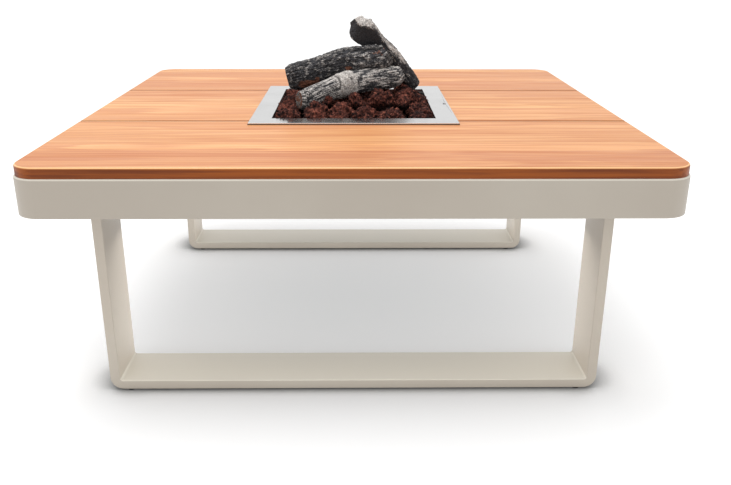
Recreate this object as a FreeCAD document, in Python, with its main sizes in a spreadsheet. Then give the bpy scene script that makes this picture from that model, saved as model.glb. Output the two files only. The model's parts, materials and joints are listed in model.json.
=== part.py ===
"""Gas fire pit coffee table: teak top, metal apron and leg frames, drop-in burner tray with a log set.

Millimetres. +Z is up and the floor is z = 0. X runs along the planks, the front is towards -Y,
and the origin is on the floor under the middle of the square top.
"""
import FreeCAD, Part
import math
import os
import random

import Sketcher
from FreeCAD import Placement, Rotation, Vector

DRIVING_SIZES = {
    # Table top and apron.
    "top_width": 1200,
    "top_height": 510,
    "wood_thickness": 20,
    "plank_gap": 5,
    "corner_radius": 50,
    "wood_inset": 3,
    "wood_edge_radius": 4,
    "apron_depth": 72,
    "apron_flange": 30,
    "apron_wall": 3,
    "apron_edge_radius": 4,
    "apron_lower_radius": 1.5,
    # Leg frames.
    "leg_span": 1008,
    "leg_setback": 128,
    "tube_width": 120,
    "tube_thickness": 20,
    "tube_wall": 3,
    "leg_corner_radius": 26,
    "glide_height": 3,
    "glide_radius": 8,
    "glide_inset": 40,
    "glide_edge": 10,
    "leg_plate_thickness": 6,
    # Channels under the planks.
    "outer_bearer_width": 70,
    "inner_bearer_width": 40,
    "inner_bearer_centre": 215,
    "bearer_depth": 30,
    # Burner tray.
    "rim_width": 452,
    "rim_length": 488,
    "pan_width": 364,
    "pan_length": 390,
    "rim_height": 4,
    "sheet": 2,
    "pan_depth": 80,
    "pan_clearance": 3,
    "grate_height": 466,
    "grate_thickness": 4,
    "grate_bar": 6,
    "grate_slot": 10,
    "burner_half_width": 100,
    "burner_half_length": 120,
    "burner_tube_radius": 8,
    "burner_height": 450,
    # Gas line and controls.
    "gas_height": 385,
    "gas_tube_radius": 5,
    "mixer_radius": 13,
    "bracket_face": 548,
    "bracket_thickness": 3,
    "igniter_offset": 45,
    "knob_radius": 21,
    "knob_length": 24,
    "stem_radius": 4,
    "running_clearance": 0.05,
}

SHEET_LABEL = "Sizes"

# Log stations: centre x, y, z and radius, from the low or left end of each log.
LOG_STATIONS = {
    "log_front": [(-125, -62, 525, 17), (-89, -45, 538, 22), (-40, -15, 553, 24.5),
                  (9, 15, 561, 25.5), (59, 40, 565, 25), (98, 60, 566, 24), (113, 69, 566, 19)],
    "log_back": [(-163, 56, 567, 24), (-150, 56, 570, 29), (-106, 57, 580, 31), (-56, 58, 596, 31),
                 (-6, 60, 609, 29.5), (44, 62, 615, 28), (70, 63, 618, 26), (78, 63, 619, 20)],
    "log_top": [(155, 155, 530, 15), (147, 149, 542, 19), (120, 134, 580, 19), (93, 121, 612, 21.5),
                (60, 108, 641, 22), (37, 95, 662, 29), (19, 81, 677, 32), (10, 72, 681, 29)],
}
LOG_CLEARANCE = 0.6
LOWER_ROCK_RADIUS = 28.5
UPPER_ROCK_RADIUS = 23
ROCK_PITCH_X = 59.5
ROCK_PITCH_Y = 64
ROCK_RISE = 28
SMALLEST_ROCK = 0.5
ROCK_SEED = 11


class Size:
    """A length that knows both its value and the sheet expression that gives it."""

    def __init__(self, value, text):
        self.value = value
        self.text = text

    def join(self, other, sign, value):
        return Size(value, "(" + self.text + " " + sign + " " + other.text + ")")

    def __add__(self, other):
        other = as_size(other)
        return self.join(other, "+", self.value + other.value)

    def __sub__(self, other):
        other = as_size(other)
        return self.join(other, "-", self.value - other.value)

    def __mul__(self, other):
        other = as_size(other)
        return self.join(other, "*", self.value * other.value)

    def __truediv__(self, other):
        other = as_size(other)
        return self.join(other, "/", self.value / other.value)

    def __neg__(self):
        return self * -1

    __radd__ = __add__
    __rmul__ = __mul__

    def __rsub__(self, other):
        return as_size(other) - self


def as_size(number):
    if isinstance(number, Size):
        return number
    return Size(float(number), "(" + repr(float(number)) + ")")


doc = FreeCAD.newDocument("fire_pit")
sheet = doc.addObject("Spreadsheet::Sheet", "Sizes")
sheet.Label = SHEET_LABEL
for row, (size_name, size_value) in enumerate(DRIVING_SIZES.items(), start=1):
    sheet.set("A" + str(row), size_name)
    sheet.set("B" + str(row), str(size_value))
    sheet.setAlias("B" + str(row), size_name)
doc.recompute()


def size(alias):
    return Size(float(sheet.get(alias)), SHEET_LABEL + "." + alias)


# ---------------------------------------------------------------- drawing helpers

TOUCHING = 1e-6
ACROSS_CORNERS = 1 / math.sqrt(3)
SUB_PARTS = []


def keep(piece, label):
    """Label a finished sub-part and list it for export."""
    piece.Label = label
    SUB_PARTS.append(piece)
    return piece


def bind(piece, **sizes):
    """Bind properties of an object to the sheet."""
    for prop, length in sizes.items():
        piece.setExpression(prop.replace("__", "."), as_size(length).text)


def place(piece, x, y, z, rotation=None):
    """Bind an object's position to the sheet."""
    if rotation is not None:
        piece.Placement = Placement(Vector(0, 0, 0), rotation)
    bind(piece, Placement__Base__x=x, Placement__Base__y=y, Placement__Base__z=z)


def box(x_range, y_range, z_range):
    piece = doc.addObject("Part::Box", "Box")
    bind(piece, Length=x_range[1] - as_size(x_range[0]), Width=y_range[1] - as_size(y_range[0]),
         Height=z_range[1] - as_size(z_range[0]))
    place(piece, x_range[0], y_range[0], z_range[0])
    return piece


ALONG = {
    "+Z": Rotation(),
    "+X": Rotation(Vector(0, 1, 0), 90),
    "+Y": Rotation(Vector(1, 0, 0), -90),
}


def cylinder(radius, start, length, along="+Z"):
    piece = doc.addObject("Part::Cylinder", "Cylinder")
    bind(piece, Radius=radius, Height=length)
    place(piece, *start, rotation=ALONG[along])
    return piece


def hexagon(across_flats, start, length, along="+Z"):
    piece = doc.addObject("Part::Prism", "Hexagon")
    piece.Polygon = 6
    bind(piece, Circumradius=as_size(across_flats) * ACROSS_CORNERS, Height=length)
    place(piece, *start, rotation=ALONG[along])
    return piece


def fuse(*pieces):
    if len(pieces) == 1:
        return pieces[0]
    joined = doc.addObject("Part::MultiFuse", "Fuse")
    joined.Shapes = list(pieces)
    joined.Refine = True
    return joined


def cut(base, *tools):
    trimmed = doc.addObject("Part::Cut", "Cut")
    trimmed.Base = base
    trimmed.Tool = fuse(*tools)
    return trimmed


def body(label):
    piece = doc.addObject("PartDesign::Body", label)
    return keep(piece, label)


def sketch(owner, name, plane):
    drawing = owner.newObject("Sketcher::SketchObject", name)
    origin_plane = [part for part in owner.Origin.OriginFeatures if part.Role == plane][0]
    drawing.AttachmentSupport = [(origin_plane, "")]
    drawing.MapMode = "FlatFace"
    return drawing


def fix_point(drawing, geometry, vertex, x, y):
    """Hold one sketch point at bound distances from the sketch's origin."""
    for kind, distance in (("DistanceX", x), ("DistanceY", y)):
        distance = as_size(distance)
        index = drawing.addConstraint(
            Sketcher.Constraint(kind, -1, 1, geometry, vertex, distance.value))
        drawing.setExpression("Constraints[" + str(index) + "]", distance.text)


def polygon(drawing, corners):
    """Draw a closed outline of straight lines whose corners are bound to the sheet."""
    corners = [(as_size(x), as_size(y)) for x, y in corners]
    first = drawing.GeometryCount
    count = len(corners)
    for index, (x, y) in enumerate(corners):
        next_x, next_y = corners[(index + 1) % count]
        drawing.addGeometry(Part.LineSegment(Vector(x.value, y.value, 0),
                                             Vector(next_x.value, next_y.value, 0)))
    for index, (x, y) in enumerate(corners):
        following = first + (index + 1) % count
        drawing.addConstraint(Sketcher.Constraint("Coincident", first + index, 2, following, 1))
        fix_point(drawing, first + index, 1, x, y)


def rectangle(drawing, x_range, y_range):
    polygon(drawing, [(x_range[0], y_range[0]), (x_range[1], y_range[0]),
                      (x_range[1], y_range[1]), (x_range[0], y_range[1])])


def circles(drawing, centres, radius):
    radius = as_size(radius)
    for x, y in centres:
        x = as_size(x)
        y = as_size(y)
        index = drawing.addGeometry(
            Part.Circle(Vector(x.value, y.value, 0), Vector(0, 0, 1), radius.value))
        fix_point(drawing, index, 3, x, y)
        held = drawing.addConstraint(Sketcher.Constraint("Radius", index, radius.value))
        drawing.setExpression("Constraints[" + str(held) + "]", radius.text)


def pad(owner, drawing, length, symmetric=False):
    feature = owner.newObject("PartDesign::Pad", "Pad")
    feature.Profile = drawing
    feature.SideType = "Symmetric" if symmetric else "One side"
    bind(feature, Length=length)
    doc.recompute()
    return feature


def pocket_up(owner, drawing, length):
    """Cut upwards from a sketch on the body's XY plane."""
    before = owner.Tip.Shape.Volume
    feature = owner.newObject("PartDesign::Pocket", "Pocket")
    feature.Profile = drawing
    feature.Reversed = True
    bind(feature, Length=length)
    doc.recompute()
    if feature.Shape.Volume >= before:
        raise RuntimeError("a pocket in " + owner.Label + " removes nothing")
    return feature


def round_edges(owner, radius, wanted):
    """Fillet the edges of a body's tip that a test picks out."""
    base = owner.Tip
    names = ["Edge" + str(index) for index, edge in enumerate(base.Shape.Edges, start=1)
             if wanted(edge)]
    feature = owner.newObject("PartDesign::Fillet", "Fillet")
    feature.Base = (base, names)
    bind(feature, Radius=radius)
    doc.recompute()
    return feature


def copies(label, pattern, places):
    """One node of identical solids: the pattern's shape repeated at each place."""
    doc.recompute()
    group = doc.addObject("Part::Feature", label)
    group.Shape = Part.makeCompound([pattern.Shape.translated(Vector(*spot)) for spot in places])
    return keep(group, label)


# ---------------------------------------------------------------- shared positions

half_top = size("top_width") / 2
wood_bottom = size("top_height") - size("wood_thickness")
half_wood = half_top - size("wood_inset")
plank_width = (half_wood * 2 - size("plank_gap") * 2) / 3
middle_edge = plank_width / 2
outer_plank_edge = middle_edge + size("plank_gap")
pan_cut_edge = size("pan_width") / 2 + size("pan_clearance")
web_bottom = wood_bottom - size("apron_wall")
apron_bottom = wood_bottom - size("apron_depth")
apron_inside = half_top - size("apron_flange")
outer_bearer_centre = (size("leg_span") - size("tube_thickness")) / 2
leg_front = half_top - size("leg_setback")
leg_back = leg_front - size("tube_width")
leg_middle = (leg_front + leg_back) / 2
half_span = size("leg_span") / 2
plate_bottom = web_bottom - size("leg_plate_thickness")
grate_top = size("grate_height") + size("grate_thickness")
rim_top = size("top_height") + size("rim_height")
pan_bottom = rim_top - size("rim_height") - size("pan_depth")

PLANK_SCREW_RADIUS = 2
PLANK_SCREW_DEPTH = 14
PLANK_SCREW_ROWS = {
    "outer": [outer_plank_edge + 60, half_top - 60],
    "middle": [as_size(-120), as_size(120)],
}
LEG_BOLT_RADIUS = 4
BOLT_CLEARANCE = 0.2
LEG_BOLT_SPREAD_X = 21
LEG_BOLT_SPREAD_Y = 45


def plank_screw_places():
    """Where the screws come up through the bearers, plank by plank."""
    bearers = [sign * centre for sign in (-1, 1) for centre in
               (size("inner_bearer_centre"), outer_bearer_centre)]
    # On the outer bearers the screws stand beside the leg plates.
    spots = {}
    spots["plank_front"] = [(x, -y) for x in bearers for y in PLANK_SCREW_ROWS["outer"]]
    spots["plank_back"] = [(x, y) for x in bearers for y in PLANK_SCREW_ROWS["outer"]]
    spots["plank_middle_left"] = [(x, y) for x in bearers[:2] for y in PLANK_SCREW_ROWS["middle"]]
    spots["plank_middle_right"] = [(x, y) for x in bearers[2:] for y in PLANK_SCREW_ROWS["middle"]]
    return spots


SCREW_PLACES = plank_screw_places()
ALL_SCREWS = [spot for spots in SCREW_PLACES.values() for spot in spots]
LEG_CENTRES = [(sx, sy) for sx in (-1, 1) for sy in (-1, 1)]
LEG_BOLT_PLACES = [(sx * outer_bearer_centre + bx, sy * leg_middle + by)
                   for sx, sy in LEG_CENTRES
                   for bx in (-LEG_BOLT_SPREAD_X, LEG_BOLT_SPREAD_X)
                   for by in (-LEG_BOLT_SPREAD_Y, LEG_BOLT_SPREAD_Y)]


# ---------------------------------------------------------------- teak planks

def is_vertical(edge):
    extent = edge.BoundBox
    return extent.XLength < TOUCHING and extent.YLength < TOUCHING


def plank(label, x_range, y_range, round_side):
    """A flat board, with its outside corners rounded and every top edge eased."""
    board = body(label)
    outline = sketch(board, "Outline", "XY_Plane")
    rectangle(outline, x_range, y_range)
    pad(board, outline, size("wood_thickness"))
    if round_side:
        outside = half_wood.value * round_side
        round_edges(board, size("corner_radius") - size("wood_inset"),
                    lambda edge: is_vertical(edge) and abs(edge.BoundBox.YMin - outside) < TOUCHING)
    thickness = size("wood_thickness").value
    round_edges(board, size("wood_edge_radius"),
                lambda edge: edge.BoundBox.ZMin > thickness - TOUCHING)
    holes = sketch(board, "ScrewHoles", "XY_Plane")
    circles(holes, SCREW_PLACES[label], PLANK_SCREW_RADIUS + 0.1)
    pocket_up(board, holes, PLANK_SCREW_DEPTH + 1)
    if label == "plank_middle_right":
        rim_hole = sketch(board, "RimScrewHole", "XY_Plane")
        circles(rim_hole, [RIM_SCREW_PLACE], RIM_SCREW_RADIUS + 0.1)
        pocket_up(board, rim_hole, size("wood_thickness") + 1)
    place(board, 0, 0, wood_bottom)
    return board


RIM_SCREW_RADIUS = 1.5
RIM_SCREW_PLACE = (size("rim_width") / 2 - 9, -16)

plank("plank_front", (-half_wood, half_wood), (-half_wood, -outer_plank_edge), -1)
plank("plank_back", (-half_wood, half_wood), (outer_plank_edge, half_wood), 1)
plank("plank_middle_left", (-half_wood, -pan_cut_edge), (-middle_edge, middle_edge), 0)
plank("plank_middle_right", (pan_cut_edge, half_wood), (-middle_edge, middle_edge), 0)

# ---------------------------------------------------------------- apron


def channel_outline(drawing, outer, sign=1):
    """Channel section open to the inside: web on the outside, flanges at top and bottom."""
    wall = size("apron_wall")
    web = outer - sign * wall
    lip = outer - sign * size("apron_flange")
    polygon(drawing, [(outer, apron_bottom), (outer, wood_bottom), (lip, wood_bottom),
                      (lip, wood_bottom - wall), (web, wood_bottom - wall),
                      (web, apron_bottom + wall), (lip, apron_bottom + wall), (lip, apron_bottom)])


def round_outside(piece, is_outside):
    """Round the top and bottom edges of an apron piece's outer face."""
    for height, radius in ((wood_bottom, size("apron_edge_radius")),
                           (apron_bottom, size("apron_lower_radius"))):
        round_edges(piece, radius, lambda edge: abs(edge.BoundBox.ZMin - height.value) < TOUCHING
                    and abs(edge.BoundBox.ZMax - height.value) < TOUCHING and is_outside(edge))


def apron_rail(label, plane, sign):
    rail = body(label)
    section = sketch(rail, "Section", plane)
    channel_outline(section, sign * half_top, sign)
    straight = size("top_width") - size("corner_radius") * 2
    pad(rail, section, straight, symmetric=True)
    across = "y" if plane == "YZ_Plane" else "x"
    outside = half_top.value * sign
    round_outside(rail, lambda edge: all(abs(getattr(vertex.Point, across) - outside) < TOUCHING
                                         for vertex in edge.Vertexes))
    if label == "apron_rail_right":
        holes = sketch(rail, "BracketHoles", "XY_Plane")
        circles(holes, BRACKET_SCREW_PLACES, BRACKET_SCREW_RADIUS + 0.2)
        pocket_up(rail, holes, apron_bottom + size("apron_wall") + 1)
    return rail


def apron_corner(label, sign_x, sign_y):
    """A quarter turn of the apron channel round a plank corner."""
    corner = body(label)
    section = sketch(corner, "Section", "XZ_Plane")
    channel_outline(section, size("corner_radius"))
    turn = corner.newObject("PartDesign::Revolution", "Turn")
    turn.Profile = section
    turn.ReferenceAxis = (section, ["V_Axis"])
    turn.Angle = 90
    doc.recompute()
    reach = size("corner_radius").value
    round_outside(corner, lambda edge: edge.Curve.TypeId == "Part::GeomCircle"
                  and abs(edge.Curve.Radius - reach) < TOUCHING)
    made = corner.Shape.Solids[0].CenterOfMass
    wanted = math.degrees(math.atan2(sign_y, sign_x))
    turned = wanted - math.degrees(math.atan2(made.y, made.x))
    centre = half_top - size("corner_radius")
    place(corner, sign_x * centre, sign_y * centre, 0,
          rotation=Rotation(Vector(0, 0, 1), turned))
    return corner


BRACKET_SCREW_RADIUS = 2.5
BRACKET_SCREW_PLACES = [(apron_inside + 10, -30), (apron_inside + 10, 65)]

apron_rail("apron_rail_front", "YZ_Plane", -1)
apron_rail("apron_rail_back", "YZ_Plane", 1)
apron_rail("apron_rail_left", "XZ_Plane", -1)
apron_rail("apron_rail_right", "XZ_Plane", 1)
apron_corner("apron_corner_front_left", -1, -1)
apron_corner("apron_corner_front_right", 1, -1)
apron_corner("apron_corner_back_left", -1, 1)
apron_corner("apron_corner_back_right", 1, 1)

# ---------------------------------------------------------------- bearers under the planks


def bearer(label, centre, width):
    """Channel, open downwards, that ties the planks together from apron to apron."""
    wall = size("apron_wall")
    low = wood_bottom - size("bearer_depth")
    ends = (-apron_inside, apron_inside)
    outside = box((centre - width / 2, centre + width / 2), ends, (low, wood_bottom))
    hollow = box((centre - width / 2 + wall, centre + width / 2 - wall),
                 (-apron_inside - 1, apron_inside + 1), (low - 1, web_bottom))
    reach = width.value / 2
    drills = [cylinder(PLANK_SCREW_RADIUS + BOLT_CLEARANCE, (x, y, low), size("bearer_depth") + 1)
              for x, y in ALL_SCREWS if abs(x.value - as_size(centre).value) < reach]
    drills += [cylinder(LEG_BOLT_RADIUS + BOLT_CLEARANCE, (x, y, low), size("bearer_depth") + 1)
               for x, y in LEG_BOLT_PLACES if abs(x.value - as_size(centre).value) < reach]
    return keep(cut(outside, hollow, *drills), label)


bearer("bearer_outer_left", -outer_bearer_centre, size("outer_bearer_width"))
bearer("bearer_inner_left", -size("inner_bearer_centre"), size("inner_bearer_width"))
bearer("bearer_inner_right", size("inner_bearer_centre"), size("inner_bearer_width"))
bearer("bearer_outer_right", outer_bearer_centre, size("outer_bearer_width"))

# ---------------------------------------------------------------- leg frames


def corner_waste(sign_x, y_range):
    """What rounding the bottom outside corner of a leg frame takes away."""
    radius = size("leg_corner_radius")
    floor = size("glide_height")
    outside = sign_x * (half_span + 1)
    inside = sign_x * (half_span - radius)
    x_range = (outside, inside) if sign_x < 0 else (inside, outside)
    square = box(x_range, y_range, (floor - 1, floor + radius))
    roller = cylinder(radius, (inside, y_range[0] - 1, floor + radius),
                      y_range[1] - y_range[0] + 2, "+Y")
    return cut(square, roller)


def mitred(owner_name, corners, y_range):
    """Solid between two y planes whose outline in x and z is a bound polygon."""
    core = doc.addObject("PartDesign::Body", owner_name)
    outline = sketch(core, "Outline", "XZ_Plane")
    polygon(outline, corners)
    pad(core, outline, y_range[1] - y_range[0]).Reversed = True
    place(core, 0, y_range[0], 0)
    return core


def leg_frame(side_name, sign_y):
    """Two flat-tube uprights and a foot bar, mitred together at the floor."""
    thick = size("tube_thickness")
    wall = size("tube_wall")
    floor = size("glide_height")
    y_range = (-leg_front, -leg_back) if sign_y < 0 else (leg_back, leg_front)
    hollow_y = (y_range[0] + wall, y_range[1] - wall)
    inner = half_span - thick

    bar = mitred("FootBar", [(-half_span, floor), (half_span, floor), (inner, floor + thick),
                             (-inner, floor + thick)], y_range)
    bar_hollow = box((-inner, inner), hollow_y, (floor + wall, floor + thick - wall))
    trims = [corner_waste(sign_x, y_range) for sign_x in (-1, 1)]
    keep(cut(bar, bar_hollow, *trims), "leg_foot_bar_" + side_name)

    for hand, sign_x in (("left", -1), ("right", 1)):
        post = mitred("Upright", [(sign_x * half_span, floor), (sign_x * half_span, plate_bottom),
                                  (sign_x * inner, plate_bottom), (sign_x * inner, floor + thick)],
                      y_range)
        near = sign_x * (inner + wall)
        far = sign_x * (half_span - wall)
        x_range = (far, near) if sign_x < 0 else (near, far)
        post_hollow = box(x_range, hollow_y, (floor + thick + wall, plate_bottom + 1))
        keep(cut(post, post_hollow, corner_waste(sign_x, y_range)),
             "leg_upright_" + side_name + "_" + hand)

    glide = cylinder(size("glide_radius"), (0, 0, 0), size("glide_height"))
    rows = (y_range[0] + size("glide_edge"), y_range[1] - size("glide_edge"))
    columns = (size("glide_inset") - half_span, half_span - size("glide_inset"))
    copies("leg_glides_" + side_name, glide, [(x.value, y.value, 0) for x in columns for y in rows])


leg_frame("front", -1)
leg_frame("back", 1)

PLATE_OVERHANG = 5
plate_half_x = size("outer_bearer_width") / 2 - size("apron_wall") - 2
plate_half_y = size("tube_width") / 2 + PLATE_OVERHANG
for sign_x, sign_y in LEG_CENTRES:
    centre_x = sign_x * outer_bearer_centre
    centre_y = sign_y * leg_middle
    blank = box((centre_x - plate_half_x, centre_x + plate_half_x),
                (centre_y - plate_half_y, centre_y + plate_half_y), (plate_bottom, web_bottom))
    bolt_holes = [cylinder(LEG_BOLT_RADIUS + BOLT_CLEARANCE, (x, y, plate_bottom - 1),
                           size("leg_plate_thickness") + 2)
                  for x, y in LEG_BOLT_PLACES
                  if abs(x.value - centre_x.value) < plate_half_x.value
                  and abs(y.value - centre_y.value) < plate_half_y.value]
    keep(cut(blank, *bolt_holes), "leg_plate_" + ("front" if sign_y < 0 else "back")
         + "_" + ("left" if sign_x < 0 else "right"))

BOLT_HEAD_FLATS = 13
BOLT_HEAD_HEIGHT = 5
bolt_head = hexagon(BOLT_HEAD_FLATS, (0, 0, -BOLT_HEAD_HEIGHT), BOLT_HEAD_HEIGHT)
bolt_shank = cylinder(LEG_BOLT_RADIUS, (0, 0, 0), size("leg_plate_thickness") + size("apron_wall"))
copies("leg_bolts", fuse(bolt_head, bolt_shank),
       [(x.value, y.value, plate_bottom.value) for x, y in LEG_BOLT_PLACES])

SCREW_HEAD_RADIUS = 4
SCREW_HEAD_HEIGHT = 3
screw_head = cylinder(SCREW_HEAD_RADIUS, (0, 0, -SCREW_HEAD_HEIGHT), SCREW_HEAD_HEIGHT)
screw_shank = cylinder(PLANK_SCREW_RADIUS, (0, 0, 0), PLANK_SCREW_DEPTH + size("apron_wall"))
copies("plank_screws", fuse(screw_head, screw_shank),
       [(x.value, y.value, web_bottom.value) for x, y in ALL_SCREWS])

# ---------------------------------------------------------------- burner tray


def centred(width):
    return (-(width / 2), width / 2)


def burner_tray():
    """Pressed stainless tray: a flat rim with a turned-down lip, and a deep pan under it."""
    sheet_of = size("sheet")
    rim_x = centred(size("rim_width"))
    rim_y = centred(size("rim_length"))
    pan_x = centred(size("pan_width"))
    pan_y = centred(size("pan_length"))
    rim = box(rim_x, rim_y, (size("top_height"), rim_top))
    under_rim = box((rim_x[0] + sheet_of, rim_x[1] - sheet_of),
                    (rim_y[0] + sheet_of, rim_y[1] - sheet_of),
                    (size("top_height") - 1, rim_top - sheet_of))
    pan = box(pan_x, pan_y, (pan_bottom, rim_top))
    inside = box((pan_x[0] + sheet_of, pan_x[1] - sheet_of),
                 (pan_y[0] + sheet_of, pan_y[1] - sheet_of), (pan_bottom + sheet_of, rim_top + 1))
    through = sheet_of + 2
    holes = [cylinder(BURNER_INLET_RADIUS + FIT, (0, 0, pan_bottom - 1), through),
             cylinder(ELECTRODE_RADIUS + FIT, (ELECTRODE_X, size("igniter_offset"), pan_bottom - 1),
                      through),
             cylinder(RIM_SCREW_RADIUS + FIT, (*RIM_SCREW_PLACE, size("top_height")),
                      size("rim_height") + 1)]
    folded = fuse(cut(rim, under_rim), pan)
    keep(cut(folded, inside, *holes), "burner_tray")


FIT = 0.3
BURNER_INLET_RADIUS = 9
BURNER_STUB_DROP = 22
ELECTRODE_RADIUS = 4
ELECTRODE_X = 70
burner_tray()

RIM_SCREW_HEAD_RADIUS = 3.4
RIM_SCREW_HEAD_HEIGHT = 1.6
RIM_SCREW_LENGTH = 16
rim_screw_head = cylinder(RIM_SCREW_HEAD_RADIUS, (*RIM_SCREW_PLACE, rim_top), RIM_SCREW_HEAD_HEIGHT)
rim_screw_shank = cylinder(RIM_SCREW_RADIUS, (*RIM_SCREW_PLACE, rim_top - RIM_SCREW_LENGTH),
                           RIM_SCREW_LENGTH)
keep(fuse(rim_screw_head, rim_screw_shank), "rim_screw")

# Angle lugs on the long walls of the pan carry the grate.
LUG_X = (-15, 15)
LUG_SHELF = 14
LUG_SHELF_THICKNESS = 3
LUG_WALL_THICKNESS = 2
LUG_HEIGHT = 20
LUG_COLUMNS = (-120, 120)
lug_shelf = box(LUG_X, (0, LUG_SHELF), (-LUG_SHELF_THICKNESS, 0))
lug_upright = box(LUG_X, (0, LUG_WALL_THICKNESS), (-LUG_HEIGHT, -LUG_SHELF_THICKNESS))
lug_front = fuse(lug_shelf, lug_upright)
doc.recompute()
wall_inside = size("pan_length") / 2 - size("sheet")
lug_spots = [Vector(x, -wall_inside.value, size("grate_height").value) for x in LUG_COLUMNS]
lug_shapes = [lug_front.Shape.translated(spot) for spot in lug_spots]
lug_shapes += [shape.mirror(Vector(0, 0, 0), Vector(0, 1, 0)) for shape in lug_shapes]
grate_lugs = doc.addObject("Part::Feature", "grate_lugs")
grate_lugs.Shape = Part.makeCompound(lug_shapes)
keep(grate_lugs, "grate_lugs")


GRATE_GAP_X = 4
GRATE_GAP_Y = 3
GRATE_FRAME = 8
GRATE_MIDDLE_BAR = 12


def media_grate():
    """Flat steel grate: a frame, a middle bar and a row of slots each side of it."""
    grate = body("media_grate")
    outline = sketch(grate, "Outline", "XY_Plane")
    half_x = size("pan_width") / 2 - size("sheet") - GRATE_GAP_X
    half_y = size("pan_length") / 2 - size("sheet") - GRATE_GAP_Y
    rectangle(outline, (-half_x, half_x), (-half_y, half_y))
    pad(grate, outline, size("grate_thickness"))
    slots = sketch(grate, "Slots", "XY_Plane")
    pitch = size("grate_bar") + size("grate_slot")
    first = GRATE_FRAME - half_x
    bar_edge = as_size(GRATE_MIDDLE_BAR / 2)
    for low, high in ((GRATE_FRAME - half_y, -bar_edge), (bar_edge, half_y - GRATE_FRAME)):
        rectangle(slots, (first, first + size("grate_slot")), (low, high))
    slot_row = pocket_up(grate, slots, size("grate_thickness") + 1)
    slotted = 2 * (half_x.value - GRATE_FRAME)
    count = int((slotted + size("grate_bar").value) // pitch.value)
    pattern = grate.newObject("PartDesign::LinearPattern", "SlotRow")
    pattern.Originals = [slot_row]
    pattern.Direction = (slots, ["H_Axis"])
    pattern.Mode = "Spacing"
    pattern.Occurrences = count
    bind(pattern, Offset=pitch)
    grate.Tip = pattern
    place(grate, 0, 0, size("grate_height"))
    doc.recompute()


media_grate()

# H burner: two side tubes on a cross tube, fed from a central stub that drops through the pan.
side_tubes = [cylinder(size("burner_tube_radius"),
                       (sign * size("burner_half_width"), -size("burner_half_length"),
                        size("burner_height")), size("burner_half_length") * 2, "+Y")
              for sign in (-1, 1)]
cross = cylinder(size("burner_tube_radius"), (-size("burner_half_width"), 0, size("burner_height")),
                 size("burner_half_width") * 2, "+X")
stub = cylinder(BURNER_INLET_RADIUS, (0, 0, pan_bottom - BURNER_STUB_DROP),
                size("burner_height") - pan_bottom + BURNER_STUB_DROP)
SHOULDER_RADIUS = 15
SHOULDER_HEIGHT = 4
PORT_RADIUS = 1.2
PORTS_EACH_WAY = 5
shoulder = cylinder(SHOULDER_RADIUS, (0, 0, pan_bottom + size("sheet")), SHOULDER_HEIGHT)
port_pitch = size("burner_half_length") / (PORTS_EACH_WAY + 1)
ports = [cylinder(PORT_RADIUS, (sign * size("burner_half_width"), step * port_pitch,
                                size("burner_height")), size("burner_tube_radius") + 1)
         for sign in (-1, 1) for step in range(-PORTS_EACH_WAY, PORTS_EACH_WAY + 1)]
keep(cut(fuse(*side_tubes, cross, stub, shoulder), *ports), "h_burner")

LOCK_NUT_FLATS = 28
LOCK_NUT_HEIGHT = 6
lock_nut = hexagon(LOCK_NUT_FLATS, (0, 0, pan_bottom - LOCK_NUT_HEIGHT), LOCK_NUT_HEIGHT)
lock_nut_bore = cylinder(BURNER_INLET_RADIUS + FIT, (0, 0, pan_bottom - LOCK_NUT_HEIGHT - 1),
                         LOCK_NUT_HEIGHT + 2)
keep(cut(lock_nut, lock_nut_bore), "burner_lock_nut")

# Air mixer: a brass elbow below the pan that takes the gas jet from +X.
MIXER_DROP = 8
MIXER_ARM_LENGTH = 40
AIR_SLOT_X = (12, 24)
AIR_SLOT_HALF_HEIGHT = 4
gas_line = size("gas_height")
mixer_top = pan_bottom - MIXER_DROP
mixer_low = gas_line - size("mixer_radius")
socket_low = pan_bottom - BURNER_STUB_DROP - FIT
mixer_post = cylinder(size("mixer_radius"), (0, 0, mixer_low), mixer_top - mixer_low)
mixer_arm = cylinder(size("mixer_radius"), (0, 0, gas_line), MIXER_ARM_LENGTH, "+X")
mixer_socket = cylinder(BURNER_INLET_RADIUS + FIT, (0, 0, socket_low), mixer_top - socket_low + 1)
mixer_throat = cylinder(size("gas_tube_radius"), (0, 0, gas_line), MIXER_ARM_LENGTH + 1, "+X")
mixer_rise = cylinder(size("gas_tube_radius"), (0, 0, gas_line), mixer_top - gas_line)
air_slot = box(AIR_SLOT_X, (-size("mixer_radius") - 1, size("mixer_radius") + 1),
               (gas_line - AIR_SLOT_HALF_HEIGHT, gas_line + AIR_SLOT_HALF_HEIGHT))
keep(cut(fuse(mixer_post, mixer_arm), mixer_socket, mixer_throat, mixer_rise, air_slot),
     "air_mixer")

JET_FLATS = 17
JET_LENGTH = 12
JET_BORE_RADIUS = 0.8
jet_nut = hexagon(JET_FLATS, (MIXER_ARM_LENGTH, 0, gas_line), JET_LENGTH, "+X")
jet_nose = cylinder(size("gas_tube_radius") - 0.1, (MIXER_ARM_LENGTH - JET_LENGTH, 0, gas_line),
                    JET_LENGTH, "+X")
jet_bore = cylinder(JET_BORE_RADIUS, (MIXER_ARM_LENGTH - JET_LENGTH - 1, 0, gas_line),
                    JET_LENGTH * 2 + 2, "+X")
keep(cut(fuse(jet_nut, jet_nose), jet_bore), "gas_jet")

# ---------------------------------------------------------------- control bracket and gas valve

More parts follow.
